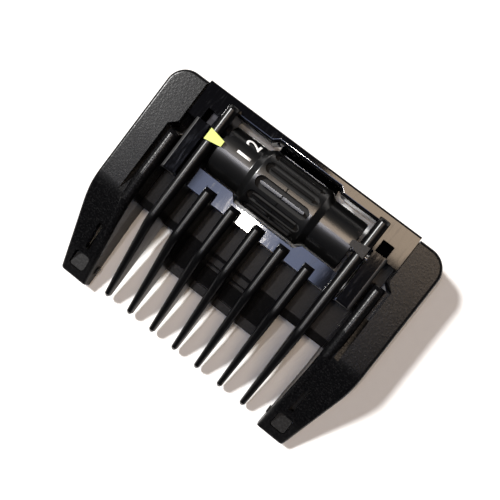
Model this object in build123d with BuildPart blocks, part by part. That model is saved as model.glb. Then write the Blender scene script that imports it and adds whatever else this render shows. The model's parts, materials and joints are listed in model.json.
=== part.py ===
"""Clipper guard comb with a numbered length dial.

The guard lies on its open underside. +X is to the right, +Y to the rear, where the dial is, the teeth
point to -Y, and +Z is up, through the crests of the ribs. The origin is the middle of the footprint.
Three bodies: the carrier clips to the clipper, the comb slides forward on it along -Y, and the dial
turns in the comb, where its two pinions roll on racks on the carrier. Sizes are in millimetres.
"""

from build123d import *

import os
from math import acos, cos, pi, radians, sin, tan

# ---- overall ----
HALF_WIDTH = 27.0
REAR_Y = 20.4
TIP_Y = -20.4
RUNNING_GAP = 0.2
FUSE = 0.1

# ---- wings of the carrier ----
WING_REAR_Y = 19.85
WING_TOP = 9.3
WING_TIP_TOP = 2.7
WING_INNER_X = 21.1
KNEE_Y = -3.6
KNEE_RADIUS = 8.0
BEND_Y = -6.2
BEND_RADIUS = 20.0
REAR_CORNER = 3.6
TIP_OUTER_X = 24.3
TIP_CORNER = 0.7
TOP_EDGE = 0.6
NOTCH_Y = 11.8
WALL = 1.4
HOLLOW_REAR_Y = 17.75
HOLLOW_CORNER = 2.1

# ---- runners along the wings' inner borders ----
RUNNER_INNER_X = 19.5
RUNNER_OUTER_X = 21.65
RUNNER_REAR_Y = 10.3
RUNNER_TOP = 9.95
RUNNER_TIP_INNER_X = 19.0
RUNNER_TIP_OUTER_X = 20.1
GROOVE_OUTER_X = 22.4
GROOVE_FRONT_Y = -0.5
GROOVE_FLOOR = 7.0
GROOVE_REAR_Y = 10.6
GROOVE_RISE_Y = 5.0
GROOVE_END_Y = -3.0
RUNNER_END_DROP = 0.95
RUNNER_ROUND_DROP = 0.25

# ---- blade bridge under the ribs ----
BRIDGE_TOP = 3.9
BRIDGE_THICK = 1.4
BRIDGE_REAR_Y = 4.0
BEVEL_Y = -1.8
BRIDGE_FRONT_Y = -3.3
TONGUE_HALF = 9.9
TONGUE_LIP_Y = -7.5
TONGUE_FRONT_Y = -9.2
FACET_SLOPE = 0.228
POCKETS_Y = ((-3.6, -2.4), (-4.45, -3.85), (-7.75, -7.5))
POCKET_DEPTH = 0.8

# ---- ribs of the comb ----
RIB_PITCH = 4.95
RIB_CREST = 10.8
RIB_WIDTH = 1.96
RIB_TIP_WIDTH = 1.0
RIB_TAPER_Y = 4.0
RIB_TIP_Y = -19.5
RIB_FLOOR = BRIDGE_TOP + RUNNING_GAP
LONG_REAR_Y = 19.1
SHORT_REAR_Y = 6.25
TIP_TOP = 2.75
TIP_BOTTOM = 1.5
KNEE_BLEND = 1.3
SEAT_DEPTH = 0.3
SEAT_GAP = 0.16

# ---- slide plate ----
PLATE_TOP = 8.8
PLATE_THICK = 1.4
PLATE_HALF = 20.95
FLANGE_HALF = 22.0
PLATE_FRONT_Y = 13.9
BAR_FRONT_Y = 4.35
BAR_REAR_Y = 7.9
BAR_GRIP_REAR_Y = 6.75
BEAM_REAR_Y = 5.55
WINDOW_REAR_Y = 18.1
WINDOW_GRIP_REAR_Y = 18.9
WINDOW_STEP_IN = 6.0
WINDOW_STEP_OUT = 7.0
LIP_RADIUS = 0.55
STRAP_INNER_X = 16.2
STRAP_OUTER_X = 18.9
STRAP_TOP = 10.3
STRAP_THICK = 0.7
STRAP_REAR_Y = 14.2
STRAP_WALL = 0.5
STRAP_ROUND = 0.45
HOLE_INNER_X = 16.4
HOLE_OUTER_X = 18.6
HOLE_REAR_Y = 16.5
SHELF_FRONT_TOP = 5.7
SHELF_REAR_TOP = 6.9
SHELF_THICK = 0.5
WALL_THICK = 0.8
WALL_BOTTOM = 4.0
CRADLE_BOTTOM = 1.2
CRADLE_FRONT_TOP = 1.7
CRADLE_REAR_TOP = 3.2
CRADLE_FRONT_Y = 17.5

# ---- dial ----
DIAL_Y = 12.6
DIAL_Z = 5.9
DIAL_HALF = 13.25
END_R = 4.55
GRIP_R = 5.4
GRIP_HALF = 5.6
SHOULDER_X = 6.8
SEAM_BEVEL = 0.12
END_ROUND = 0.25
CORE_R = 1.7
CORE_OUTER_R = 3.3
CORE_HALF = 11.8
FLUTES = 12
FLUTE_START = -6.5
FLUTE_HALF = 5.1
FLUTE_WIDTH = 2.15
FLUTE_DEPTH = 1.0
FLUTE_RIB = 0.5
NOTCH_ANGLE = 33.0
NOTCH_DEPTH = 0.8
NOTCH_WIDTH = 1.2

# ---- shaft and gears ----
HEX_FLATS = 1.3
JOURNAL_R = 0.63
BEARING_GAP = 0.05
JOURNAL_INNER_X = 13.4
JOURNAL_OUTER_X = 16.3
SHAFT_HALF = 18.2
MODULE = 0.25
TEETH = 10
PRESSURE = radians(20)
TOOTH_ADDENDUM = 0.2
TOOTH_DEDENDUM = 0.24
TOOTH_THINNING = 0.0133
RACK_ADDENDUM = 0.13
RACK_DEDENDUM = 0.28
RACK_HALF_TOOTH = 0.1763
GEAR_INNER_X = 16.5
GEAR_OUTER_X = 18.1
RACK_INNER_X = 16.4
RACK_OUTER_X = 18.2
RACK_FRONT_Y = 7.4
RACK_REAR_Y = 14.6
RACK_TOOTH_RANGE = range(-6, 3)
LEDGE_TOP = 2.9
LEDGE_BOTTOM = 2.0

# ---- bearing caps, spring and latches ----
CAP_SLOT = 2.3
CAP_TOP = 11.1
CAP_CENTRE_Y = 13.0
CAP_WIDE_X = 15.6
CAP_WIDE_HALF = 1.05
CAP_TIP_X = 12.6
CAP_TIP_HALF = 0.5
PEG_HALF = 0.45
PEG_BOTTOM = 9.9
PEG_GAP = 0.05
SPRING_INNER_X = 16.8
SPRING_OUTER_X = 17.8
SPRING_THICK = 0.2
SPRING_LINE = ((18.2, 7.4), (15.5, 7.4), (14.45, 7.6), (13.8, 7.1))
PAD_X = (20.55, 23.3)
PAD_Y = (-18.6, -15.9)
PAD_TOP = 3.35
PAD_CORNER = 0.5
WINDOW_GAP = 0.15
SLOT_X = 21.8
SLOT_WIDTH = 0.9
SLOT_Y = (-14.5, -9.5)
LATCH_BOTTOM = 1.0
ARM_X = (21.5, 22.7)
ARM_TOP = 2.0
ARM_REAR_Y = -7.0
ROOT_X = (21.75, 23.2)
ROOT_REAR_Y = -5.2
ROOT_TOP = 6.0
NIB_X = (18.85, 21.0)
NIB_Y = (-17.8, -16.6)
NIB_TOP = 1.9

LONG_RIB_X = 3 * RIB_PITCH
SLOPE = (WING_TOP - WING_TIP_TOP) / (KNEE_Y - TIP_Y)
PLATE_BOTTOM = PLATE_TOP - PLATE_THICK
PITCH_R = MODULE * TEETH / 2
PITCH_LINE_Z = DIAL_Z - PITCH_R
BORE_R = JOURNAL_R + BEARING_GAP
DIAL_AXIS = Axis((0, DIAL_Y, DIAL_Z), (1, 0, 0))


def save(piece, name):
    """Labels a finished piece and writes it to its own STEP file."""
    piece.part.label = name
    export_step(piece.part, f"parts/{name}.step")


def add_box(low, high, mode=Mode.ADD):
    """Adds or cuts the box between two corners."""
    size = Vector(high) - Vector(low)
    with Locations(Vector(low) + size / 2):
        Box(size.X, size.Y, size.Z, mode=mode)


def upright_plane(x, y):
    """Cross-section plane: its own x runs along +X and its own y along +Z."""
    return Plane(origin=(x, y, 0), x_dir=(1, 0, 0), z_dir=(0, -1, 0))


def wing_height(y):
    """Height of a wing's top face: level to the knee, then falling to the tip."""
    return WING_TOP - max(0.0, KNEE_Y - y) * SLOPE


def bridge_height(y):
    """Height of the blade bridge: level, then the facet, then the level lip."""
    fall = min(max(0.0, BEVEL_Y - y), BEVEL_Y - TONGUE_LIP_Y)
    return BRIDGE_TOP - fall * FACET_SLOPE


def arch(left, right, bottom, top):
    """Section of a ridge: straight sides and a full round crest."""
    middle = (left + right) / 2
    side = max(top - (right - left) / 2, bottom + FUSE)
    with BuildLine() as outline:
        Polyline((left, side), (left, bottom), (right, bottom), (right, side))
        ThreePointArc((right, side), (middle, top), (left, side))
    make_face(outline.edges())


# ---------------------------------------------------------------- ribs
def rib_half(y):
    """Half the thickness of a rib, which thins from the bar to the tip."""
    share = min(max(0.0, (RIB_TAPER_Y - y) / (RIB_TAPER_Y - RIB_TIP_Y)), 1.0)
    return (RIB_WIDTH + (RIB_TIP_WIDTH - RIB_WIDTH) * share) / 2


def rib_crest(y):
    """Crest height: level, a rounded knee, then a straight fall to the tip."""
    fall = (RIB_CREST - TIP_TOP) / (KNEE_Y - RIB_TIP_Y)
    past = min(max(-KNEE_BLEND, KNEE_Y - y), KNEE_BLEND)
    rounded = RIB_CREST - fall * (past + KNEE_BLEND) ** 2 / (4 * KNEE_BLEND)
    return rounded - fall * max(0.0, KNEE_Y - y - KNEE_BLEND)


def rib_bottom(y):
    """Underside height: level over the bridge, then down its facet and on to the tip."""
    over_bridge = bridge_height(y) + RUNNING_GAP
    share = max(0.0, (TONGUE_FRONT_Y - y) / (TONGUE_FRONT_Y - RIB_TIP_Y))
    return over_bridge + (TIP_BOTTOM - over_bridge) * share


def bar_rear_y(x):
    """Rear edge of the front bar, which steps forward round the dial's grip."""
    share = min(max(0.0, (x - WINDOW_STEP_IN) / (WINDOW_STEP_OUT - WINDOW_STEP_IN)), 1.0)
    return BAR_GRIP_REAR_Y + (BAR_REAR_Y - BAR_GRIP_REAR_Y) * share


def make_rib(x, rear_y):
    """One rib of the comb, standing at x, from its rear end to its tip."""
    knee = [KNEE_Y + KNEE_BLEND * k / 3 for k in (3, 2, 1, 0, -1, -2, -3)]
    stations = [RIB_TAPER_Y, 1.0, BEVEL_Y] + knee + [TONGUE_LIP_Y, TONGUE_FRONT_Y, RIB_TIP_Y + 0.5]
    half = RIB_WIDTH / 2
    seat = SEAT_DEPTH if rear_y == SHORT_REAR_Y else 0
    with BuildPart() as rib:
        for drop, back in ((1.1, 0.0), (0.35, 0.25), (0.0, 0.75)):
            with BuildSketch(upright_plane(x, rear_y - back)):
                arch(-half, half, RIB_FLOOR, RIB_CREST - drop)
        for y in stations:
            with BuildSketch(upright_plane(x, y)):
                arch(-rib_half(y), rib_half(y), rib_bottom(y), rib_crest(y))
        for shrink, y in ((0.62, RIB_TIP_Y + 0.12), (0.3, RIB_TIP_Y)):
            with BuildSketch(upright_plane(x, y)):
                tip = RIB_TIP_WIDTH / 2 * shrink
                arch(-tip, tip, TIP_BOTTOM + 0.3 * (1 - shrink), TIP_TOP - 0.9 * (1 - shrink))
        loft(ruled=True)
        bar_rear = bar_rear_y(abs(x)) + FUSE * (rear_y == SHORT_REAR_Y)
        add_box((x - 2, BAR_FRONT_Y, 0), (x + 2, bar_rear, PLATE_TOP - seat), Mode.SUBTRACT)
        if rear_y == LONG_REAR_Y:
            add_box((x - 2, WINDOW_REAR_Y, 0), (x + 2, rear_y + 1, PLATE_TOP), Mode.SUBTRACT)
            slot_low = (x - 2, DIAL_Y - CAP_SLOT / 2, DIAL_Z)
            add_box(slot_low, (x + 2, DIAL_Y + CAP_SLOT / 2, CAP_TOP), Mode.SUBTRACT)
            with Locations(Location((x, DIAL_Y, DIAL_Z), (0, 90, 0))):
                Cylinder(BORE_R, 4, mode=Mode.SUBTRACT)
    return rib


# ---------------------------------------------------------------- slide plate
def make_slide_plate():
    """Glossy slide: the rear plate, the bar in front of the dial and a strap at each side."""
    strap = make_strap()
    with BuildPart() as plate:
        with BuildSketch(Plane.XY.offset(PLATE_BOTTOM)):
            Polygon([
                (0, REAR_Y),
                (PLATE_HALF, REAR_Y),
                (PLATE_HALF, PLATE_FRONT_Y),
                (STRAP_OUTER_X, PLATE_FRONT_Y),
                (STRAP_OUTER_X, BAR_FRONT_Y),
                (0, BAR_FRONT_Y),
            ])
        extrude(amount=PLATE_THICK)
        fillet(plate.edges().filter_by(is_rear_edge), radius=STRAP_ROUND)
        with BuildSketch(Plane.XY.offset(PLATE_BOTTOM)):
            Polygon([
                (0, WINDOW_GRIP_REAR_Y),
                (WINDOW_STEP_IN, WINDOW_GRIP_REAR_Y),
                (WINDOW_STEP_OUT, WINDOW_REAR_Y),
                (LONG_RIB_X + RIB_WIDTH / 2, WINDOW_REAR_Y),
                (LONG_RIB_X + RIB_WIDTH / 2, BAR_REAR_Y),
                (WINDOW_STEP_OUT, BAR_REAR_Y),
                (WINDOW_STEP_IN, BAR_GRIP_REAR_Y),
                (0, BAR_GRIP_REAR_Y),
            ])
        extrude(amount=PLATE_THICK, mode=Mode.SUBTRACT)
        fillet(plate.edges().filter_by(is_window_lip), radius=LIP_RADIUS)
        add_box((0, BAR_FRONT_Y, RIB_FLOOR), (STRAP_INNER_X + FUSE, BEAM_REAR_Y, PLATE_BOTTOM))
        add_window_wall()
        add_strap(strap)
        add_shelf()
        flange_low = (PLATE_HALF - FUSE, PLATE_FRONT_Y, PLATE_BOTTOM)
        add_box(flange_low, (FLANGE_HALF, WING_REAR_Y - 0.4, PLATE_BOTTOM + PLATE_THICK / 2))
        mirror(about=Plane.YZ)
        for k in (-2, -1, 0, 1, 2):
            half = rib_half(BAR_FRONT_Y) + SEAT_GAP
            seat_low = (k * RIB_PITCH - half, BAR_FRONT_Y - FUSE, PLATE_TOP - SEAT_DEPTH)
            add_box(seat_low, (k * RIB_PITCH + half, SHORT_REAR_Y + SEAT_GAP, PLATE_TOP + 1), Mode.SUBTRACT)
    return plate


def add_window_wall():
    """Wall hanging under the window's rear edge, deeper behind the grip, where a cradle ends it."""
    with BuildSketch(Plane.XY.offset(WALL_BOTTOM)) as wall:
        Polygon([
            (0, WINDOW_GRIP_REAR_Y),
            (WINDOW_STEP_IN, WINDOW_GRIP_REAR_Y),
            (WINDOW_STEP_OUT, WINDOW_REAR_Y),
            (LONG_RIB_X, WINDOW_REAR_Y),
            (LONG_RIB_X, WINDOW_REAR_Y + WALL_THICK),
            (WINDOW_STEP_OUT, WINDOW_REAR_Y + WALL_THICK),
            (WINDOW_STEP_IN, WINDOW_GRIP_REAR_Y + WALL_THICK),
            (0, WINDOW_GRIP_REAR_Y + WALL_THICK),
        ])
    extrude(wall.sketch, amount=PLATE_BOTTOM + FUSE - WALL_BOTTOM)
    wall_rear_y = WINDOW_GRIP_REAR_Y + WALL_THICK
    with BuildSketch(Plane.YZ) as cradle:
        Polygon([
            (CRADLE_FRONT_Y, CRADLE_BOTTOM),
            (CRADLE_FRONT_Y, CRADLE_FRONT_TOP),
            (WINDOW_GRIP_REAR_Y, CRADLE_REAR_TOP),
            (WINDOW_GRIP_REAR_Y, WALL_BOTTOM + FUSE),
            (wall_rear_y, WALL_BOTTOM + FUSE),
            (wall_rear_y, CRADLE_BOTTOM),
        ])
    extrude(cradle.sketch, amount=WINDOW_STEP_IN)


def add_shelf():
    """Sloping shelf that closes the hole behind a strap from below, hung on an outer wall."""
    outer_x = HOLE_OUTER_X + SHELF_THICK
    rear_y = HOLE_REAR_Y + SHELF_THICK
    with BuildSketch(Plane.YZ.offset(HOLE_INNER_X - FUSE)) as shelf:
        Polygon([
            (STRAP_REAR_Y, SHELF_FRONT_TOP - SHELF_THICK),
            (STRAP_REAR_Y, SHELF_FRONT_TOP),
            (rear_y, SHELF_REAR_TOP),
            (rear_y, SHELF_REAR_TOP - SHELF_THICK),
        ])
    extrude(shelf.sketch, amount=outer_x - HOLE_INNER_X + FUSE)
    wall_low = (HOLE_OUTER_X, STRAP_REAR_Y, SHELF_FRONT_TOP - SHELF_THICK)
    add_box(wall_low, (outer_x, rear_y, PLATE_BOTTOM + FUSE))


def is_window_lip(edge):
    """The upper edge of the window's rear side, as far as the long rib."""
    centre = edge.center()
    across = edge.bounding_box().size.X > FUSE
    at_rear = WINDOW_REAR_Y - FUSE < centre.Y < WINDOW_GRIP_REAR_Y + FUSE
    return abs(centre.Z - PLATE_TOP) < 0.01 and across and at_rear


def is_rear_edge(edge):
    """The upper edge of the plate's rear side."""
    centre = edge.center()
    return abs(centre.Z - PLATE_TOP) < 0.01 and centre.Y > REAR_Y - FUSE


def make_strap():
    """Solid block of a strap, rounded along its outer and its front rim."""
    with BuildPart() as strap:
        add_box((STRAP_INNER_X, BAR_FRONT_Y, RIB_FLOOR), (STRAP_OUTER_X, STRAP_REAR_Y, STRAP_TOP))
        rims = strap.faces().sort_by(Axis.Z)[-1].edges()
        outer_rim = rims.filter_by(Axis.Y).sort_by(Axis.X)[-1]
        front_rim = rims.filter_by(Axis.X).sort_by(Axis.Y)[0]
        fillet([outer_rim, front_rim], radius=STRAP_ROUND)
    return strap.part


def add_strap(strap):
    """Raised strap over a pinion: a top, an outer wall and a front wall, open towards the rib."""
    add(strap)
    well_inner = LONG_RIB_X + RIB_WIDTH / 2
    well_low = (well_inner, BAR_FRONT_Y + STRAP_WALL, RIB_FLOOR - 1)
    well_high = (STRAP_OUTER_X - STRAP_WALL, STRAP_REAR_Y, STRAP_TOP - STRAP_THICK)
    add_box(well_low, well_high, Mode.SUBTRACT)
    hole_low = (HOLE_INNER_X, STRAP_REAR_Y - FUSE, 0)
    add_box(hole_low, (HOLE_OUTER_X, HOLE_REAR_Y, PLATE_TOP + 0.01), Mode.SUBTRACT)


# ---------------------------------------------------------------- carrier
def make_wing_block():
    """Outer block of the right wing, with its rounded corners and its falling front."""
    with BuildPart() as block:
        with BuildSketch() as plan:
            Polygon([
                (WING_INNER_X, WING_REAR_Y),
                (HALF_WIDTH, WING_REAR_Y),
                (HALF_WIDTH, BEND_Y),
                (TIP_OUTER_X, TIP_Y),
                (RUNNER_TIP_OUTER_X - 0.4, TIP_Y),
                (RUNNER_OUTER_X - 0.8, KNEE_Y - 4),
                (RUNNER_OUTER_X - FUSE, GROOVE_FRONT_Y),
                (RUNNER_OUTER_X - FUSE, RUNNER_REAR_Y),
                (GROOVE_OUTER_X, RUNNER_REAR_Y),
                (GROOVE_OUTER_X, GROOVE_REAR_Y),
                (WING_INNER_X, NOTCH_Y),
            ])
            round_corner(plan, (HALF_WIDTH, WING_REAR_Y), REAR_CORNER)
            round_corner(plan, (HALF_WIDTH, BEND_Y), BEND_RADIUS)
            round_corner(plan, (TIP_OUTER_X, TIP_Y), TIP_CORNER)
        extrude(amount=WING_TOP + 1)
        keep_under(WING_TOP)
        fillet(block.edges().filter_by(is_outer_top_edge), radius=TOP_EDGE)
    return block.part


def round_corner(sketch, point, radius):
    """Rounds the sketch's corner that is nearest to point."""
    fillet(sketch.vertices().sort_by_distance(point)[0], radius=radius)


def keep_under(top):
    """Keeps what lies under a wing's top face, when that face is level at top as far as the knee."""
    tip_drop = (KNEE_Y - TIP_Y + 1) * SLOPE
    with BuildSketch(Plane.YZ) as side:
        Polygon([
            (REAR_Y + 1, -1),
            (REAR_Y + 1, top),
            (KNEE_Y, top),
            (TIP_Y - 1, top - tip_drop),
            (TIP_Y - 1, -1),
        ])
        round_corner(side, (KNEE_Y, top), KNEE_RADIUS)
    extrude(side.sketch, amount=HALF_WIDTH + 1, mode=Mode.INTERSECT)


def is_outer_top_edge(edge):
    """An edge of a wing's top face along its rear, its outer side or its tip."""
    centre = edge.center()
    on_top = abs(centre.Z - wing_height(centre.Y)) < RUNNING_GAP
    along_side = centre.X > (TIP_OUTER_X + GROOVE_OUTER_X) / 2 and edge.bounding_box().size.Y > FUSE
    at_end = centre.Y > WING_REAR_Y - FUSE or centre.Y < TIP_Y + FUSE
    return on_top and (along_side or at_end)


def make_hollow():
    """The solid that is taken out of a wing from below."""
    with BuildPart() as hollow:
        with BuildSketch(Plane.XY.offset(-1)) as plan:
            Polygon([
                (FLANGE_HALF + WALL, HOLLOW_REAR_Y),
                (HALF_WIDTH - WALL, HOLLOW_REAR_Y),
                (HALF_WIDTH - WALL, BEND_Y),
                (TIP_OUTER_X - WALL / 2, TIP_Y + WALL),
                (RUNNER_TIP_OUTER_X, TIP_Y + WALL),
                (RUNNER_OUTER_X - 0.3, GROOVE_FRONT_Y - WALL),
                (FLANGE_HALF + WALL, GROOVE_FRONT_Y - WALL),
            ])
            round_corner(plan, (HALF_WIDTH - WALL, HOLLOW_REAR_Y), HOLLOW_CORNER)
        extrude(amount=WING_TOP)
        keep_under(WING_TOP - WALL)
    return hollow.part


def make_runner():
    """The rounded ridge on a wing's inner border, falling with the wing to its tip."""
    inner = RUNNER_INNER_X
    outer = RUNNER_OUTER_X
    stations = (
        (RUNNER_REAR_Y, inner, outer, RUNNER_TOP - RUNNER_END_DROP),
        (RUNNER_REAR_Y - 0.25, inner, outer, RUNNER_TOP - RUNNER_ROUND_DROP),
        (RUNNER_REAR_Y - 0.8, inner, outer, RUNNER_TOP),
        (1.5, inner, outer, RUNNER_TOP),
        (KNEE_Y, inner, outer, WING_TOP + 0.15),
        (KNEE_Y - 4, inner, outer - 0.4, wing_height(KNEE_Y - 4) + 0.1),
        (TIP_Y + 0.1, RUNNER_TIP_INNER_X, RUNNER_TIP_OUTER_X, wing_height(TIP_Y) + 0.05),
    )
    with BuildPart() as runner:
        for y, left, right, top in stations:
            with BuildSketch(upright_plane(0, y)):
                arch(left, right, 0, top)
        loft(ruled=True)
    return runner.part


def make_carrier_frame():
    """Matte frame: two hollow wings with runners, the blade bridge with its tongue, and the rack ledges."""
    block = make_wing_block()
    hollow = make_hollow()
    runner = make_runner()
    with BuildPart() as frame:
        add(block)
        add(hollow, mode=Mode.SUBTRACT)
        cut_groove()
        add(runner)
        flange_low = (WING_INNER_X - FUSE, RUNNER_REAR_Y, PLATE_BOTTOM - 0.15)
        flange_high = (FLANGE_HALF + 0.15, WING_REAR_Y - 0.2, PLATE_BOTTOM + PLATE_THICK / 2 + 0.15)
        add_box(flange_low, flange_high, Mode.SUBTRACT)
        add_bridge()
        ledge_low = (RACK_INNER_X - FUSE, BRIDGE_REAR_Y - FUSE, LEDGE_BOTTOM)
        add_box(ledge_low, (RUNNER_INNER_X + FUSE, RACK_REAR_Y + FUSE, LEDGE_TOP))
        root_low = (RUNNER_INNER_X, RUNNER_REAR_Y - 1, LEDGE_BOTTOM)
        add_box(root_low, (WING_INNER_X + FUSE, RACK_REAR_Y + FUSE, LEDGE_TOP))
        cut_tip_windows()
        mirror(about=Plane.YZ)
    return frame


def cut_groove():
    """Cuts the groove between wing and runner, whose floor rises to the wing's top at its front end."""
    with BuildSketch(Plane.YZ.offset(RUNNER_OUTER_X - FUSE)) as groove:
        Polygon([
            (GROOVE_REAR_Y, WING_TOP + 1),
            (GROOVE_REAR_Y, GROOVE_FLOOR),
            (GROOVE_RISE_Y, GROOVE_FLOOR),
            (GROOVE_END_Y, WING_TOP),
            (GROOVE_END_Y, WING_TOP + 1),
        ])
    extrude(groove.sketch, amount=GROOVE_OUTER_X - RUNNER_OUTER_X + FUSE, mode=Mode.SUBTRACT)


def add_bridge():
    """Right half of the blade bridge: a level deck, a bevelled front and the tongue with its lip."""
    front_top = bridge_height(BRIDGE_FRONT_Y)
    lip_top = bridge_height(TONGUE_LIP_Y)
    with BuildSketch(Plane.YZ) as deck:
        Polygon([
            (BRIDGE_REAR_Y, BRIDGE_TOP - BRIDGE_THICK),
            (BRIDGE_REAR_Y, BRIDGE_TOP),
            (BEVEL_Y, BRIDGE_TOP),
            (BRIDGE_FRONT_Y, front_top),
            (BRIDGE_FRONT_Y, front_top - BRIDGE_THICK / 2),
            (BEVEL_Y, BRIDGE_TOP - BRIDGE_THICK),
        ])
    extrude(deck.sketch, amount=RUNNER_INNER_X + FUSE)
    with BuildSketch(Plane.YZ) as tongue:
        Polygon([
            (BEVEL_Y + FUSE, BRIDGE_TOP - BRIDGE_THICK),
            (BEVEL_Y + FUSE, BRIDGE_TOP),
            (BEVEL_Y, BRIDGE_TOP),
            (TONGUE_LIP_Y, lip_top),
            (TONGUE_FRONT_Y, lip_top),
            (TONGUE_FRONT_Y, lip_top - BRIDGE_THICK),
            (TONGUE_LIP_Y, lip_top - BRIDGE_THICK),
        ])
    extrude(tongue.sketch, amount=TONGUE_HALF)
    for front, rear in POCKETS_Y:
        floor = bridge_height(rear) - POCKET_DEPTH
        add_box((0, front, floor), (RIB_PITCH, rear, BRIDGE_TOP + 1), Mode.SUBTRACT)


def cut_tip_windows():
    """Cuts the window over the latch pad, the slot behind it and the opening for the nib."""
    with BuildSketch(Plane.XY.offset(LATCH_BOTTOM)) as openings:
        with Locations((sum(PAD_X) / 2, sum(PAD_Y) / 2)):
            gap = 2 * WINDOW_GAP
            RectangleRounded(PAD_X[1] - PAD_X[0] + gap, PAD_Y[1] - PAD_Y[0] + gap, PAD_CORNER + WINDOW_GAP)
        with Locations((SLOT_X, sum(SLOT_Y) / 2)):
            Rectangle(SLOT_WIDTH, SLOT_Y[1] - SLOT_Y[0])
    extrude(openings.sketch, amount=WING_TOP, mode=Mode.SUBTRACT)
    nib_low = (NIB_X[0], NIB_Y[0] - RUNNING_GAP, LATCH_BOTTOM - RUNNING_GAP)
    add_box(nib_low, (NIB_X[1], NIB_Y[1] + RUNNING_GAP, NIB_TOP + RUNNING_GAP), Mode.SUBTRACT)


def make_latch(side):
    """Snap latch in a wing tip: a root block, a spring arm, the pad in the window and a nib inwards."""
    with BuildPart() as latch:
        add_box((ROOT_X[0], ARM_REAR_Y, LATCH_BOTTOM), (ROOT_X[1], ROOT_REAR_Y, ROOT_TOP))
        add_box((ARM_X[0], PAD_Y[1] - FUSE, LATCH_BOTTOM), (ARM_X[1], ARM_REAR_Y + FUSE, ARM_TOP))
        with BuildSketch(Plane.XY.offset(LATCH_BOTTOM)):
            with Locations((sum(PAD_X) / 2, sum(PAD_Y) / 2)):
                RectangleRounded(PAD_X[1] - PAD_X[0], PAD_Y[1] - PAD_Y[0], PAD_CORNER)
        extrude(amount=PAD_TOP - LATCH_BOTTOM)
        add_box((NIB_X[0], NIB_Y[0], LATCH_BOTTOM), (NIB_X[1], NIB_Y[1], NIB_TOP))
        if side < 0:
            mirror(about=Plane.YZ, mode=Mode.REPLACE)
    return latch


def make_rack(side):
    """Toothed rack on a carrier ledge, under one pinion."""
    pitch = pi * MODULE
    top_half = RACK_HALF_TOOTH - RACK_ADDENDUM * tan(PRESSURE)
    root_half = RACK_HALF_TOOTH + RACK_DEDENDUM * tan(PRESSURE)
    top = PITCH_LINE_Z + RACK_ADDENDUM
    root = PITCH_LINE_Z - RACK_DEDENDUM
    outline = [(RACK_FRONT_Y, LEDGE_TOP), (RACK_FRONT_Y, root)]
    for k in RACK_TOOTH_RANGE:
        y = DIAL_Y + k * pitch
        outline += [(y - root_half, root), (y - top_half, top), (y + top_half, top), (y + root_half, root)]
    outline += [(RACK_REAR_Y, root), (RACK_REAR_Y, LEDGE_TOP)]
    with BuildPart() as rack:
        with BuildSketch(Plane.YZ.offset(RACK_INNER_X)):
            Polygon(outline)
        extrude(amount=RACK_OUTER_X - RACK_INNER_X)
        if side < 0:
            mirror(about=Plane.YZ, mode=Mode.REPLACE)
    return rack


# ---------------------------------------------------------------- dial
def hexagon():
    """The shaft's hexagon, two of its flats level, in a plane across the dial's axis."""
    with Locations((DIAL_Y, DIAL_Z)):
        RegularPolygon(HEX_FLATS / 2, 6, major_radius=False)


def make_pinion(side):
    """Ten-tooth involute pinion on the end of the shaft, a gap between teeth pointing down."""
    base_r = PITCH_R * cos(PRESSURE)
    tip_r = PITCH_R + TOOTH_ADDENDUM
    root_r = PITCH_R - TOOTH_DEDENDUM
    pitch_angle = 2 * pi / TEETH
    at_base = pitch_angle / 4 - TOOTH_THINNING + tan(PRESSURE) - PRESSURE
    flank = [(root_r, at_base)]
    for k in range(5):
        radius = base_r + (tip_r - base_r) * k / 4
        roll = acos(base_r / radius)
        flank.append((radius, at_base - tan(roll) + roll))
    outline = []
    for tooth in range(TEETH):
        middle = -pi / 2 + pitch_angle * (tooth + 0.5)
        for radius, angle in flank:
            outline.append(gear_point(radius, middle - angle))
        for radius, angle in reversed(flank):
            outline.append(gear_point(radius, middle + angle))
    with BuildPart() as pinion:
        with BuildSketch(Plane.YZ.offset(GEAR_INNER_X)):
            Polygon(outline)
        extrude(amount=GEAR_OUTER_X - GEAR_INNER_X)
        with BuildSketch(Plane.YZ.offset(GEAR_INNER_X)):
            hexagon()
        extrude(amount=GEAR_OUTER_X - GEAR_INNER_X, mode=Mode.SUBTRACT)
        if side < 0:
            mirror(about=Plane.YZ, mode=Mode.REPLACE)
    return pinion


def gear_point(radius, angle):
    """Point across the dial's axis, the angle counted from +Y towards +Z."""
    return (DIAL_Y + radius * cos(angle), DIAL_Z + radius * sin(angle))


def make_shaft():
    """Hexagonal shaft with a round journal at each bearing."""
    with BuildPart() as shaft:
        with BuildSketch(Plane.YZ):
            hexagon()
        extrude(amount=SHAFT_HALF)
        ring = JOURNAL_OUTER_X - JOURNAL_INNER_X
        with BuildSketch(Plane.YZ.offset(JOURNAL_INNER_X)):
            with Locations((DIAL_Y, DIAL_Z)):
                Circle(HEX_FLATS)
                Circle(JOURNAL_R, mode=Mode.SUBTRACT)
        extrude(amount=ring, mode=Mode.SUBTRACT)
        mirror(about=Plane.YZ)
    return shaft


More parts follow.
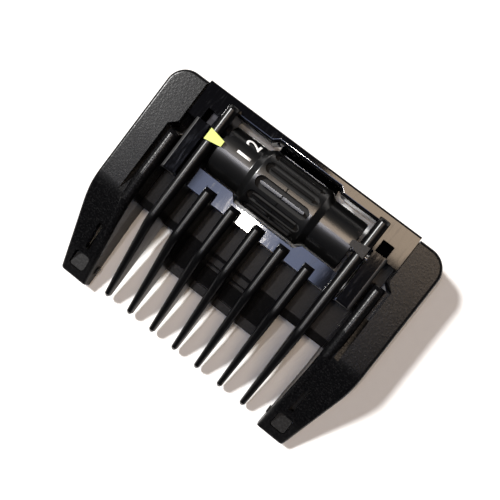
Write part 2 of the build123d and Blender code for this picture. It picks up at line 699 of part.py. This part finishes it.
def make_dial_half(side):
    """One moulded half of the dial: numbered drum, shoulder and half of the fluted grip."""
    with BuildPart() as dial:
        with BuildSketch(upright_plane(0, DIAL_Y)) as profile:
            Polygon([
                (0, DIAL_Z),
                (0, DIAL_Z + GRIP_R - SEAM_BEVEL),
                (SEAM_BEVEL, DIAL_Z + GRIP_R),
                (GRIP_HALF, DIAL_Z + GRIP_R),
                (SHOULDER_X, DIAL_Z + END_R),
                (DIAL_HALF, DIAL_Z + END_R),
                (DIAL_HALF, DIAL_Z),
            ])
            round_corner(profile, (GRIP_HALF, DIAL_Z + GRIP_R), 2 * END_ROUND)
            round_corner(profile, (SHOULDER_X, DIAL_Z + END_R), END_ROUND)
            round_corner(profile, (DIAL_HALF, DIAL_Z + END_R), END_ROUND)
        revolve(axis=DIAL_AXIS)
        with BuildSketch(Plane.YZ):
            with Locations((DIAL_Y, DIAL_Z)):
                Circle(CORE_OUTER_R)
                Circle(CORE_R, mode=Mode.SUBTRACT)
        extrude(amount=CORE_HALF, mode=Mode.SUBTRACT)
        with BuildSketch(Plane.YZ):
            hexagon()
        extrude(amount=DIAL_HALF, mode=Mode.SUBTRACT)
        for k in range(FLUTES):
            cut_flute(FLUTE_START + 360 / FLUTES * k)
        cut_end_notch()
        if side < 0:
            mirror(about=Plane.YZ, mode=Mode.REPLACE)
    return dial


def tangent_plane(angle, radius):
    """Plane touching a circle round the dial's axis, the angle in degrees from +Z towards +Y."""
    turn = radians(angle)
    outward = (0, sin(turn), cos(turn))
    origin = (0, DIAL_Y + radius * sin(turn), DIAL_Z + radius * cos(turn))
    return Plane(origin=origin, x_dir=(1, 0, 0), z_dir=outward)


def cut_flute(angle):
    """Finger flute in the grip: a round-ended recess with a low rib standing along its middle."""
    with BuildSketch(tangent_plane(angle, GRIP_R - FLUTE_DEPTH)) as flute:
        SlotOverall(2 * FLUTE_HALF, FLUTE_WIDTH)
        SlotOverall(2 * FLUTE_HALF - FLUTE_WIDTH + FLUTE_RIB, FLUTE_RIB, mode=Mode.SUBTRACT)
    extrude(flute.sketch, amount=FLUTE_DEPTH + 1, mode=Mode.SUBTRACT)


def cut_end_notch():
    """Small notch in the rim of the drum's end, which marks the dial's zero."""
    with BuildSketch(tangent_plane(NOTCH_ANGLE, END_R - NOTCH_DEPTH)) as notch:
        with Locations((DIAL_HALF, 0)):
            Rectangle(2 * NOTCH_DEPTH, NOTCH_WIDTH)
    extrude(notch.sketch, amount=2, mode=Mode.SUBTRACT)


# ---------------------------------------------------------------- caps and spring
def make_cap(side):
    """Bearing cap that fills a long rib's slot and closes the bore over the shaft."""
    half = RIB_WIDTH / 2
    with BuildPart() as cap:
        with BuildSketch(upright_plane(LONG_RIB_X, DIAL_Y + CAP_SLOT / 2)):
            arch(-half, half, DIAL_Z, RIB_CREST)
        extrude(amount=CAP_SLOT)
        with Locations(Location((LONG_RIB_X, DIAL_Y, DIAL_Z), (0, 90, 0))):
            Cylinder(BORE_R, 4, mode=Mode.SUBTRACT)
        pocket = PEG_HALF + PEG_GAP
        pocket_low = (LONG_RIB_X - pocket, DIAL_Y - pocket, PEG_BOTTOM - PEG_GAP)
        add_box(pocket_low, (LONG_RIB_X + pocket, DIAL_Y + pocket, CAP_TOP), Mode.SUBTRACT)
        if side < 0:
            mirror(about=Plane.YZ, mode=Mode.REPLACE)
    return cap


def make_pointer(side):
    """Trapezoid pointer on a bearing cap, its narrow end over the drum and its peg in the cap."""
    with BuildPart() as pointer:
        with BuildSketch(Plane.XY.offset(RIB_CREST)):
            Polygon([
                (CAP_WIDE_X, CAP_CENTRE_Y + CAP_WIDE_HALF),
                (CAP_TIP_X, CAP_CENTRE_Y + CAP_TIP_HALF),
                (CAP_TIP_X, CAP_CENTRE_Y - CAP_TIP_HALF),
                (CAP_WIDE_X, CAP_CENTRE_Y - CAP_WIDE_HALF),
            ])
        extrude(amount=CAP_TOP - RIB_CREST)
        peg_low = (LONG_RIB_X - PEG_HALF, DIAL_Y - PEG_HALF, PEG_BOTTOM)
        add_box(peg_low, (LONG_RIB_X + PEG_HALF, DIAL_Y + PEG_HALF, RIB_CREST + FUSE))
        if side < 0:
            mirror(about=Plane.YZ, mode=Mode.REPLACE)
    return pointer


def make_click_spring():
    """Steel leaf under the plate whose bent tip rides over the left pinion's teeth."""
    under = [(y, z - SPRING_THICK) for y, z in reversed(SPRING_LINE)]
    with BuildPart() as spring:
        with BuildSketch(Plane.YZ.offset(-SPRING_OUTER_X)):
            Polygon(list(SPRING_LINE) + under)
        extrude(amount=SPRING_OUTER_X - SPRING_INNER_X)
    return spring


# ---------------------------------------------------------------- assembly
os.makedirs("parts", exist_ok=True)

save(make_carrier_frame(), "carrier_frame")
save(make_slide_plate(), "slide_plate")
for number in range(1, 8):
    rib_x = (number - 4) * RIB_PITCH
    rib_rear_y = LONG_REAR_Y if number in (1, 7) else SHORT_REAR_Y
    save(make_rib(rib_x, rib_rear_y), f"comb_rib_{number}")
for side, name in ((-1, "left"), (1, "right")):
    save(make_latch(side), f"blade_latch_{name}")
    save(make_rack(side), f"rack_{name}")
    save(make_pinion(side), f"pinion_{name}")
    save(make_dial_half(side), f"dial_{name}_half")
    save(make_cap(side), f"bearing_cap_{name}")
    save(make_pointer(side), f"pointer_{name}")
save(make_shaft(), "dial_shaft")
save(make_click_spring(), "click_spring")
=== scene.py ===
"""Looks of the clipper guard comb: materials, numerals, camera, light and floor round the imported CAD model."""
import json
import math

import bpy
import bmesh
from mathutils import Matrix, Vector


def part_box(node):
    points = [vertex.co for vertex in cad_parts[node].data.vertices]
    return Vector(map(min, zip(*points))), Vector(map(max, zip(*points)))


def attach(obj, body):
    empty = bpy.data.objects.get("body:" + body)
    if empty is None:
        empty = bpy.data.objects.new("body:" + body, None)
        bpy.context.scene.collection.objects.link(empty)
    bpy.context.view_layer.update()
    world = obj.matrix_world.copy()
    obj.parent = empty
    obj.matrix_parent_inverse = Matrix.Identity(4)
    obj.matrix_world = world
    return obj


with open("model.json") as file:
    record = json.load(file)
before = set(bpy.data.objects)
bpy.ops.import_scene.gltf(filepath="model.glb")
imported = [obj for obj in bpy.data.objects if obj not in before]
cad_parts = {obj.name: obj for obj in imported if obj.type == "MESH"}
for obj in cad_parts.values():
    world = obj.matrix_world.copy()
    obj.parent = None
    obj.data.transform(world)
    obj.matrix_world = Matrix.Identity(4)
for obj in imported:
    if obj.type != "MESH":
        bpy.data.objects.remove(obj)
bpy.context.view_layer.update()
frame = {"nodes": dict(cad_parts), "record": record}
nodes = frame["nodes"]
MM = 0.001
scene = bpy.context.scene

# The dial: its axis, its drums' radius, and the grip's half width and flutes.
DIAL_LOW, DIAL_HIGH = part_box("dial_left_half")
AXIS = Vector((0, (DIAL_LOW.y + DIAL_HIGH.y) / 2, (DIAL_LOW.z + DIAL_HIGH.z) / 2))
DRUM_R = 4.55 * MM
GRIP_HALF = 5.3 * MM
GRIP_EDGE = 0.3 * MM
FLUTE_FLOOR_R = 4.7 * MM
FLUTE_MOUTH_R = 5.25 * MM

# The carrier's deck and the straps' outer rims, with the widths over which their finish changes.
DECK_TOP = 4.1 * MM
DECK_EDGE = 0.8 * MM
STRAP_RIM_X = 18.3 * MM
STRAP_RIM_EDGE_X = 0.2 * MM
STRAP_RIM_Z = 9.2 * MM
STRAP_RIM_EDGE_Z = 0.3 * MM

# Roughness that is added where a surface is left dull.
DECK_DULL = 0.16
RIM_DULL = 0.65
FLUTE_DULL = 0.7

# Handling smears, drawn out along X.
SMEAR_MM = 1.6
SMEAR_STRETCH = (0.35, 1.0, 1.0)

# Socket numbers of a colour mix node.
MIX_SHARE, MIX_FIRST, MIX_SECOND, MIX_RESULT = 0, 6, 7, 2


# ------------------------------------------------------------ node helpers
class Shader:
    """A material under construction, with short calls for the nodes it needs."""

    def __init__(self, name):
        self.material = bpy.data.materials.new(name)
        self.material.use_nodes = True
        self.tree = self.material.node_tree
        self.surface = self.tree.nodes["Principled BSDF"]
        self.place = self.tree.nodes.new("ShaderNodeTexCoord").outputs["Object"]

    def node(self, kind, inputs, **settings):
        """Adds a node; inputs are values or sockets, by input name or number."""
        made = self.tree.nodes.new(kind)
        for key, value in settings.items():
            setattr(made, key, value)
        for key, value in inputs.items():
            self.feed(made.inputs[key], value)
        return made

    def feed(self, socket, value):
        """Links a socket to an input, or sets its constant."""
        if isinstance(value, bpy.types.NodeSocket):
            self.tree.links.new(value, socket)
        else:
            socket.default_value = value

    def set(self, **values):
        """Sets or links inputs of the surface shader; underscores stand for spaces."""
        for key, value in values.items():
            self.feed(self.surface.inputs[key.replace("_", " ")], value)

    def stretched(self, factors):
        """Object coordinates scaled along the three axes."""
        inputs = {"Vector": self.place, "Scale": factors}
        return self.node("ShaderNodeMapping", inputs).outputs["Vector"]

    def axes(self):
        """Object coordinates as three separate sockets, by X, Y and Z."""
        return self.node("ShaderNodeSeparateXYZ", {0: self.place}).outputs

    def noise(self, size_mm, detail=3.0, where=None, roughness=0.55):
        """Noise from 0 to 1 whose lumps are about size_mm across."""
        inputs = {
            "Vector": where or self.place,
            "Scale": 1 / (size_mm * MM),
            "Detail": detail,
            "Roughness": roughness,
        }
        return self.node("ShaderNodeTexNoise", inputs).outputs["Fac"]

    def cells(self, size_mm):
        """Distance to the nearest of random points about size_mm apart."""
        inputs = {"Vector": self.place, "Scale": 1 / (size_mm * MM)}
        return self.node("ShaderNodeTexVoronoi", inputs).outputs["Distance"]

    def ramp(self, value, low, high, to_low=0.0, to_high=1.0):
        """Maps low..high to to_low..to_high, smoothly and clamped."""
        inputs = {
            "Value": value,
            "From Min": low,
            "From Max": high,
            "To Min": to_low,
            "To Max": to_high,
        }
        ramp = self.node("ShaderNodeMapRange", inputs, interpolation_type="SMOOTHSTEP")
        return ramp.outputs["Result"]

    def math(self, operation, first, second=0.0):
        """One sum on two values, or on the first alone."""
        return self.node("ShaderNodeMath", {0: first, 1: second}, operation=operation).outputs[0]

    def blend(self, share, first, second):
        """Colour that goes from first to second with share."""
        inputs = {MIX_SHARE: share, MIX_FIRST: (*first, 1.0), MIX_SECOND: (*second, 1.0)}
        return self.node("ShaderNodeMix", inputs, data_type="RGBA").outputs[MIX_RESULT]

    def bump(self, height, depth_mm, under=None):
        """Normal bent by a height from 0 to 1 that stands for depth_mm."""
        inputs = {"Height": height, "Distance": depth_mm * MM, "Strength": 1.0}
        if under is not None:
            inputs["Normal"] = under
        return self.node("ShaderNodeBump", inputs).outputs["Normal"]


# ------------------------------------------------------------ materials
def textured_plastic(name, dark, light, roughness):
    """Moulded black plastic with a spark-eroded grain, duller low down on the deck than on the wings."""
    shader = Shader(name)
    grain = shader.noise(0.3, roughness=0.65)
    pits = shader.cells(0.45)
    height = shader.math("ADD", grain, shader.math("MULTIPLY", pits, 0.5))
    cloud = shader.noise(7.0)
    colour = shader.blend(shader.ramp(grain, 0.45, 0.75), dark, light)
    wings = shader.ramp(cloud, 0.3, 0.7, roughness - 0.01, roughness + 0.01)
    low_down = shader.ramp(shader.axes()["Z"], DECK_TOP, DECK_TOP + DECK_EDGE, DECK_DULL, 0.0)
    rough = shader.math("ADD", wings, low_down)
    shader.set(Base_Color=colour, Roughness=rough, Specular_IOR_Level=0.2)
    shader.set(Normal=shader.bump(height, 0.017))
    return shader.material


def polished_plastic(name, colour, roughness, wave_mm=0.0006, gloss=0.5):
    """Glossy moulded plastic: faint waviness, hairline scuffs and dust, with the straps' outer rims rubbed dull."""
    shader = Shader(name)
    wave = shader.noise(2.2, detail=1.0)
    scuffs = shader.noise(0.35, detail=4.0, where=shader.stretched((1.0, 0.12, 0.6)))
    specks = shader.ramp(shader.noise(0.22, detail=1.0), 0.74, 0.8)
    polish = shader.ramp(scuffs, 0.5, 0.8, roughness, roughness + 0.1)
    axes = shader.axes()
    outward = shader.math("ABSOLUTE", axes["X"])
    strap_rim = shader.ramp(outward, STRAP_RIM_X, STRAP_RIM_X + STRAP_RIM_EDGE_X)
    raised = shader.ramp(axes["Z"], STRAP_RIM_Z, STRAP_RIM_Z + STRAP_RIM_EDGE_Z)
    rims = shader.math("MULTIPLY", strap_rim, raised)
    dull = shader.math("MULTIPLY", rims, RIM_DULL)
    rough = shader.math("MINIMUM", shader.math("ADD", polish, dull), 1.0)
    dusty = tuple(min(1.0, c * 2.5 + 0.02) for c in colour)
    base = shader.blend(specks, colour, dusty)
    shader.set(Base_Color=base, Roughness=rough, Specular_IOR_Level=gloss)
    under = shader.bump(wave, wave_mm)
    shader.set(Normal=shader.bump(scuffs, 0.0001, under=under))
    return shader.material


def satin_plastic(name, colour, roughness):
    """Half-gloss plastic with a very fine grain."""
    shader = Shader(name)
    grain = shader.noise(0.12)
    smear = shader.noise(SMEAR_MM, where=shader.stretched(SMEAR_STRETCH))
    rough = shader.ramp(smear, 0.3, 0.7, roughness - 0.05, roughness + 0.08)
    lighter = tuple(min(1.0, c * 1.35 + 0.002) for c in colour)
    shader.set(Base_Color=shader.blend(grain, colour, lighter), Roughness=rough)
    shader.set(Normal=shader.bump(grain, 0.004))
    return shader.material


def dial_plastic(name, colour, roughness):
    """Half-gloss plastic of the dial, left dull and unpolished down in the grip's flutes."""
    shader = Shader(name)
    grain = shader.noise(0.1)
    axes = shader.axes()
    across = shader.math("SUBTRACT", axes["Y"], AXIS.y)
    upward = shader.math("SUBTRACT", axes["Z"], AXIS.z)
    across_squared = shader.math("MULTIPLY", across, across)
    upward_squared = shader.math("MULTIPLY", upward, upward)
    radius = shader.math("SQRT", shader.math("ADD", across_squared, upward_squared))
    depth = shader.ramp(radius, FLUTE_FLOOR_R, FLUTE_MOUTH_R, 1.0, 0.0)
    outward = shader.math("ABSOLUTE", axes["X"])
    along = shader.ramp(outward, GRIP_HALF, GRIP_HALF + GRIP_EDGE, 1.0, 0.0)
    recess = shader.math("MULTIPLY", depth, along)
    smear = shader.noise(SMEAR_MM, where=shader.stretched(SMEAR_STRETCH))
    polish = shader.ramp(smear, 0.3, 0.7, roughness - 0.015, roughness + 0.02)
    dull = shader.math("MULTIPLY", recess, FLUTE_DULL)
    shader.set(Base_Color=shader.blend(grain, colour, tuple(c * 2 for c in colour)))
    shader.set(Roughness=shader.math("MINIMUM", shader.math("ADD", polish, dull), 1.0))
    shader.set(Normal=shader.bump(grain, 0.0005), Specular_IOR_Level=0.9)
    return shader.material


def drawn_steel(name, roughness, dark=(0.45, 0.45, 0.46), light=(0.72, 0.72, 0.73)):
    """Steel with fine drawing lines along X."""
    shader = Shader(name)
    lines = shader.noise(0.06, detail=2.0, where=shader.stretched((0.03, 1.0, 1.0)))
    shader.set(Base_Color=shader.blend(lines, dark, light), Metallic=1.0)
    shader.set(Roughness=shader.ramp(lines, 0.3, 0.7, roughness, roughness + 0.15))
    shader.set(Normal=shader.bump(lines, 0.002))
    return shader.material


def printed_ink(name):
    """White pad-printed ink, a little uneven."""
    shader = Shader(name)
    patch = shader.noise(0.3)
    colour = shader.blend(patch, (0.78, 0.78, 0.78), (0.9, 0.9, 0.9))
    shader.set(Base_Color=colour, Roughness=0.45)
    shader.set(Normal=shader.bump(patch, 0.003))
    return shader.material


def white_table(name):
    """Matte white table top with a barely visible tooth."""
    shader = Shader(name)
    tooth = shader.noise(1.5, detail=4.0)
    colour = shader.blend(tooth, (0.84, 0.84, 0.84), (0.88, 0.88, 0.88))
    shader.set(Base_Color=colour, Roughness=0.7)
    shader.set(Normal=shader.bump(tooth, 0.01))
    return shader.material


MATERIALS = {
    "carrier_plastic": textured_plastic(
        "carrier_plastic", (0.0015, 0.0015, 0.0018), (0.009, 0.009, 0.0095), 0.26),
    "latch_plastic": textured_plastic(
        "latch_plastic", (0.004, 0.004, 0.0042), (0.018, 0.018, 0.0185), 0.3),
    "slide_plastic": polished_plastic("slide_plastic", (0.0015, 0.0015, 0.002), 0.07),
    "rib_plastic": polished_plastic(
        "rib_plastic", (0.0015, 0.0015, 0.0018), 0.28, wave_mm=0.0002, gloss=0.25),
    "dial_plastic": dial_plastic("dial_plastic", (0.0015, 0.0015, 0.0016), 0.29),
    "pointer_plastic": satin_plastic("pointer_plastic", (0.42, 0.48, 0.085), 0.4),
    "cap_plastic": textured_plastic(
        "cap_plastic", (0.008, 0.008, 0.0085), (0.02, 0.02, 0.021), 0.4),
    "gear_plastic": satin_plastic("gear_plastic", (0.02, 0.02, 0.021), 0.35),
    "shaft_steel": drawn_steel("shaft_steel", 0.25),
    "spring_steel": drawn_steel(
        "spring_steel", 0.45, dark=(0.012, 0.012, 0.014), light=(0.035, 0.035, 0.04)),
}


def dress_nodes():
    """Gives every CAD node its slot's material."""
    for part in frame["record"]["subparts"]:
        piece = nodes[part["node"]]
        piece.data.materials.clear()
        piece.data.materials.append(MATERIALS[part["material_slot"]])


dress_nodes()


# ------------------------------------------------------------ numerals
NUMERAL_COUNT = 5
NUMERAL_HEIGHT = 2.6 * MM
NUMERAL_X = -8.9 * MM
FIRST_ANGLE = math.radians(13.5)
STEP_ANGLE = math.radians(36)
INK_THICK = 0.02 * MM
CUTS_PER_SIDE = 8
CUT_STEP = 0.2 * MM


def numeral_mesh(text):
    """Flat mesh of a numeral, centred and NUMERAL_HEIGHT tall."""
    curve = bpy.data.curves.new("numeral_outline", "FONT")
    curve.body = text
    curve.resolution_u = 6
    curve.offset = 0.012
    outline = bpy.data.objects.new("numeral_outline", curve)
    scene.collection.objects.link(outline)
    bpy.context.view_layer.update()
    evaluated = outline.evaluated_get(bpy.context.evaluated_depsgraph_get())
    mesh = bpy.data.meshes.new_from_object(evaluated)
    bpy.data.objects.remove(outline)
    xs = [v.co.x for v in mesh.vertices]
    ys = [v.co.y for v in mesh.vertices]
    middle = Vector(((min(xs) + max(xs)) / 2, (min(ys) + max(ys)) / 2, 0))
    scale = NUMERAL_HEIGHT / (max(ys) - min(ys))
    for vertex in mesh.vertices:
        vertex.co = (vertex.co - middle) * scale
    return mesh


def wrap_numeral(text, angle, ink):
    """Numeral printed on the left drum: its top towards -X, centred at an angle from the top to the rear."""
    mesh = numeral_mesh(text)
    shape = bmesh.new()
    shape.from_mesh(mesh)
    for k in range(-CUTS_PER_SIDE, CUTS_PER_SIDE + 1):
        bmesh.ops.bisect_plane(
            shape, geom=shape.verts[:] + shape.edges[:] + shape.faces[:],
            plane_co=(k * CUT_STEP, 0, 0), plane_no=(1, 0, 0))
    rim = bmesh.ops.extrude_face_region(shape, geom=shape.faces[:])
    lifted = {v for v in rim["geom"] if isinstance(v, bmesh.types.BMVert)}
    for vertex in shape.verts:
        turn = angle + vertex.co.x / DRUM_R
        radius = DRUM_R + (INK_THICK if vertex in lifted else -INK_THICK)
        along = NUMERAL_X - vertex.co.y
        across = AXIS.y + radius * math.sin(turn)
        vertex.co = Vector((along, across, AXIS.z + radius * math.cos(turn)))
    bmesh.ops.recalc_face_normals(shape, faces=shape.faces[:])
    shape.to_mesh(mesh)
    shape.free()
    mesh.materials.clear()
    mesh.materials.append(ink)
    piece = bpy.data.objects.new(f"numeral_{text}", mesh)
    scene.collection.objects.link(piece)
    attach(piece, "dial")


numeral_ink = printed_ink("numeral_ink")
for number in range(1, NUMERAL_COUNT + 1):
    wrap_numeral(str(number), FIRST_ANGLE + (number - 1) * STEP_ANGLE, numeral_ink)


# ------------------------------------------------------------ floor, light, camera
FLOOR_HALF = 0.6
FLOOR_CELLS = 24
ROOM_COLOUR = (0.75, 0.82, 1.0, 1.0)
ROOM_STRENGTH = 0.03
CAMERA_PLACE_MM = (11.53, 7.10, 113.41)
CAMERA_TURN_DEGREES = (1.552, 6.194, 37.789)


def make_floor():
    """Flat white table top under the guard."""
    mesh = bpy.data.meshes.new("table_top")
    shape = bmesh.new()
    bmesh.ops.create_grid(
        shape, x_segments=FLOOR_CELLS, y_segments=FLOOR_CELLS, size=FLOOR_HALF)
    shape.to_mesh(mesh)
    shape.free()
    mesh.materials.append(white_table("table_white"))
    floor = bpy.data.objects.new("table_top", mesh)
    scene.collection.objects.link(floor)


def add_panel(name, slope, distance, size, colour, watts, shape="DISK"):
    """Area light in the direction of slope (x and y per unit of height), aimed at the guard."""
    light = bpy.data.lights.new(name, "AREA")
    light.shape = shape
    light.size = size[0]
    if shape == "RECTANGLE":
        light.size_y = size[1]
    light.color = colour
    light.energy = watts
    lamp = bpy.data.objects.new(name, light)
    scene.collection.objects.link(lamp)
    away = Vector((slope[0], slope[1], 1)).normalized()
    lamp.location = away * distance
    lamp.rotation_mode = "QUATERNION"
    lamp.rotation_quaternion = Vector((0, 0, 1)).rotation_difference(away)


def make_world():
    """Dim room, a little blue."""
    world = bpy.data.worlds.new("room")
    scene.world = world
    world.use_nodes = True
    background = world.node_tree.nodes["Background"]
    background.inputs["Color"].default_value = ROOM_COLOUR
    background.inputs["Strength"].default_value = ROOM_STRENGTH


def make_camera():
    """Camera a little over 10 cm above the guard, nearly straight down and rolled."""
    data = bpy.data.cameras.new("camera")
    data.sensor_width = 36
    data.lens = 47.55
    data.clip_start = 0.005
    camera = bpy.data.objects.new("camera", data)
    scene.collection.objects.link(camera)
    camera.location = Vector(CAMERA_PLACE_MM) * MM
    camera.rotation_euler = [math.radians(a) for a in CAMERA_TURN_DEGREES]
    scene.camera = camera


make_floor()
make_world()
add_panel("key_light", (-0.74, 0.17), 0.8, (0.12, 0.12), (1.0, 0.99, 0.97), 10.5)
add_panel("fill_lamp", (-0.135, -0.012), 0.6, (0.02, 0.02), (1.0, 0.93, 0.85), 0.5)
add_panel("warm_panel", (0.13, 0.27), 0.6, (0.24, 0.2), (1.0, 0.78, 0.58), 1.15, "RECTANGLE")
add_panel("cool_panel", (-0.115, -0.03), 0.6, (0.165, 0.12), (0.57, 0.66, 1.0), 0.3, "RECTANGLE")
make_camera()
scene.view_settings.view_transform = "Standard"
